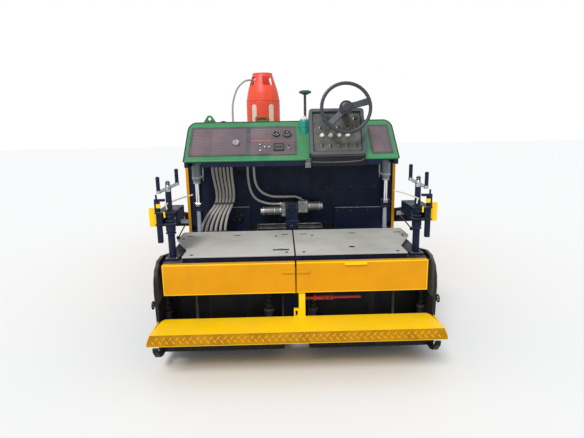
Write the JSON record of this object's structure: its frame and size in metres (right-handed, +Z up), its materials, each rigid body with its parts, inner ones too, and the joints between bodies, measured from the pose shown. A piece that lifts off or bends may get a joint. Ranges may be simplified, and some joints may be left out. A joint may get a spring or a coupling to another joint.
{
  "type": "tracked asphalt paver",
  "caption": "Small tracked asphalt paver seen from behind, with a raised extending screed, a green control console, a steering wheel, folding hopper wings and twin augers.",
  "frame": {"origin": "on the ground, halfway along and across the machine", "axes": "+Y forward, +Z up, +X to the machine's right"},
  "size_m": [2.12, 4.56, 1.9723],
  "materials": {
    "yellow_paint": "satin, lightly worn",
    "bright_yellow_paint": "satin",
    "dark_paint": "satin",
    "green_paint": "satin",
    "grey_paint": "matt, dusty",
    "track_rubber": "matt",
    "black_paint": "matt",
    "black_plastic": "matt",
    "lever_plastic": "glossy",
    "panel_plate": "satin",
    "bottle_paint": "glossy",
    "red_paint": "glossy",
    "plain_steel": "worn",
    "chromed_rod": "polished",
    "hose_rubber": "matt"
  },
  "bodies": {
    "tractor": {"main_frame": "dark_paint", "bulkhead": "dark_paint", "left_track": "track_rubber", "right_track": "track_rubber", "left_running_gear": "dark_paint", "right_running_gear": "dark_paint", "hood": "yellow_paint", "left_side_wall": "yellow_paint", "right_side_wall": "yellow_paint", "hopper_wall": "yellow_paint", "engine_block": "plain_steel", "exhaust": "plain_steel", "console_frame": "green_paint", "instrument_panel": "panel_plate", "control_box": "black_paint", "travel_lever": "lever_plastic", "gas_bottle": "bottle_paint", "conveyor": "plain_steel", "auger_case": "dark_paint", "auger_motors": "plain_steel", "screed_hoses": "hose_rubber", "auger_hoses": "hose_rubber", "gas_hose": "hose_rubber", "push_beam": "dark_paint"},
    "steering": {"steering_wheel": "black_plastic"},
    "left_wing_body": {"left_wing": "yellow_paint"},
    "left_wing_barrel_body": {"left_wing_barrel": "plain_steel"},
    "left_wing_rod_body": {"left_wing_rod": "chromed_rod"},
    "left_push_roller_body": {"left_push_roller": "plain_steel"},
    "left_auger_body": {"left_auger": "plain_steel"},
    "left_engine_door_body": {"left_engine_door": "yellow_paint"},
    "left_lift_barrel_body": {"left_lift_barrel": "plain_steel"},
    "left_lift_rod_body": {"left_lift_rod": "chromed_rod"},
    "left_crank_body": {"left_crank": "dark_paint"},
    "right_wing_body": {"right_wing": "yellow_paint"},
    "right_wing_barrel_body": {"right_wing_barrel": "plain_steel"},
    "right_wing_rod_body": {"right_wing_rod": "chromed_rod"},
    "right_push_roller_body": {"right_push_roller": "plain_steel"},
    "right_auger_body": {"right_auger": "plain_steel"},
    "right_engine_door_body": {"right_engine_door": "yellow_paint"},
    "right_lift_barrel_body": {"right_lift_barrel": "plain_steel"},
    "right_lift_rod_body": {"right_lift_rod": "chromed_rod"},
    "right_crank_body": {"right_crank": "dark_paint"},
    "left_extension_body": {"left_extension": "black_paint", "left_rear_panel": "yellow_paint"},
    "right_extension_body": {"right_extension": "black_paint", "right_rear_panel": "yellow_paint"},
    "screed": {"screed_frame": "dark_paint", "decks": "grey_paint", "left_tow_arm": "dark_paint", "right_tow_arm": "dark_paint", "left_crank_post": "dark_paint", "right_crank_post": "dark_paint", "footboard": "bright_yellow_paint", "screed_lever": "red_paint"}
  },
  "joints": [
    {"name": "steering_turn", "type": "hinge", "parent": "tractor", "child": "steering", "pos_m": [0.392, -1.43, 1.633], "axis": [0, -0.9781, 0.2079], "continuous": true},
    {"name": "screed_lift", "type": "hinge", "parent": "tractor", "child": "screed", "pos_m": [0, 0.17, 0.5], "axis": [-1, 0, 0], "range_deg": [-2.1, 4]},
    {"name": "left_extension_slide", "type": "slide", "parent": "screed", "child": "left_extension_body", "axis": [-1, 0, 0], "range_m": [0, 0.7]},
    {"name": "left_crank_turn", "type": "hinge", "parent": "screed", "child": "left_crank_body", "pos_m": [-0.8, -1.85, 1], "axis": [0, 0, 1], "continuous": true},
    {"name": "left_wing_fold", "type": "hinge", "parent": "tractor", "child": "left_wing_body", "pos_m": [-0.424, 1.035, 0.606], "axis": [0, 1, 0], "range_deg": [0, 48]},
    {"name": "left_wing_barrel_swing", "type": "hinge", "parent": "tractor", "child": "left_wing_barrel_body", "pos_m": [-0.462, 1.47, 0.3], "axis": [0, 1, 0], "range_deg": [0, 23.2]},
    {"name": "left_wing_rod_slide", "type": "slide", "parent": "left_wing_barrel_body", "child": "left_wing_rod_body", "axis": [-0.5352, 0, 0.8448], "range_m": [0, 0.13]},
    {"name": "left_push_roller_turn", "type": "hinge", "parent": "tractor", "child": "left_push_roller_body", "pos_m": [-0.332, 2.2, 0.45], "axis": [1, 0, 0], "continuous": true},
    {"name": "left_auger_turn", "type": "hinge", "parent": "tractor", "child": "left_auger_body", "pos_m": [-0.45, -1.13, 0.33], "axis": [1, 0, 0], "continuous": true},
    {"name": "left_engine_door_swing", "type": "hinge", "parent": "tractor", "child": "left_engine_door_body", "pos_m": [-0.872, 0.14, 1.16], "axis": [0, 0, -1], "range_deg": [0, 95]},
    {"name": "left_lift_barrel_swing", "type": "hinge", "parent": "tractor", "child": "left_lift_barrel_body", "pos_m": [-0.73, -1.244, 1.34], "axis": [1, 0, 0], "range_deg": [-2.62, 4.9]},
    {"name": "left_lift_rod_slide", "type": "slide", "parent": "left_lift_barrel_body", "child": "left_lift_rod_body", "axis": [0, 0, 1], "range_m": [-0.053, 0.099]},
    {"name": "right_extension_slide", "type": "slide", "parent": "screed", "child": "right_extension_body", "axis": [1, 0, 0], "range_m": [0, 0.7]},
    {"name": "right_crank_turn", "type": "hinge", "parent": "screed", "child": "right_crank_body", "pos_m": [0.8, -1.85, 1], "axis": [0, 0, 1], "continuous": true},
    {"name": "right_wing_fold", "type": "hinge", "parent": "tractor", "child": "right_wing_body", "pos_m": [0.424, 1.035, 0.606], "axis": [0, -1, 0], "range_deg": [0, 48]},
    {"name": "right_wing_barrel_swing", "type": "hinge", "parent": "tractor", "child": "right_wing_barrel_body", "pos_m": [0.462, 1.47, 0.3], "axis": [0, -1, 0], "range_deg": [0, 23.2]},
    {"name": "right_wing_rod_slide", "type": "slide", "parent": "right_wing_barrel_body", "child": "right_wing_rod_body", "axis": [0.5352, 0, 0.8448], "range_m": [0, 0.13]},
    {"name": "right_push_roller_turn", "type": "hinge", "parent": "tractor", "child": "right_push_roller_body", "pos_m": [0.332, 2.2, 0.45], "axis": [1, 0, 0], "continuous": true},
    {"name": "right_auger_turn", "type": "hinge", "parent": "tractor", "child": "right_auger_body", "pos_m": [0.45, -1.13, 0.33], "axis": [1, 0, 0], "continuous": true},
    {"name": "right_engine_door_swing", "type": "hinge", "parent": "tractor", "child": "right_engine_door_body", "pos_m": [0.872, 0.14, 1.16], "axis": [0, 0, 1], "range_deg": [0, 95]},
    {"name": "right_lift_barrel_swing", "type": "hinge", "parent": "tractor", "child": "right_lift_barrel_body", "pos_m": [0.73, -1.244, 1.34], "axis": [1, 0, 0], "range_deg": [-2.62, 4.9]},
    {"name": "right_lift_rod_slide", "type": "slide", "parent": "right_lift_barrel_body", "child": "right_lift_rod_body", "axis": [0, 0, 1], "range_m": [-0.053, 0.099]}
  ],
  "couplings": [
    {"joint": "left_wing_barrel_swing", "follows": "left_wing_fold", "ratio": 0.4796},
    {"joint": "left_wing_rod_slide", "follows": "left_wing_fold", "m_per_rad": 0.1525},
    {"joint": "left_lift_barrel_swing", "follows": "screed_lift", "ratio": 1.2},
    {"joint": "left_lift_rod_slide", "follows": "screed_lift", "m_per_rad": 1.39},
    {"joint": "right_wing_barrel_swing", "follows": "right_wing_fold", "ratio": 0.4796},
    {"joint": "right_wing_rod_slide", "follows": "right_wing_fold", "m_per_rad": 0.1525},
    {"joint": "right_lift_barrel_swing", "follows": "screed_lift", "ratio": 1.2},
    {"joint": "right_lift_rod_slide", "follows": "screed_lift", "m_per_rad": 1.39}
  ]
}
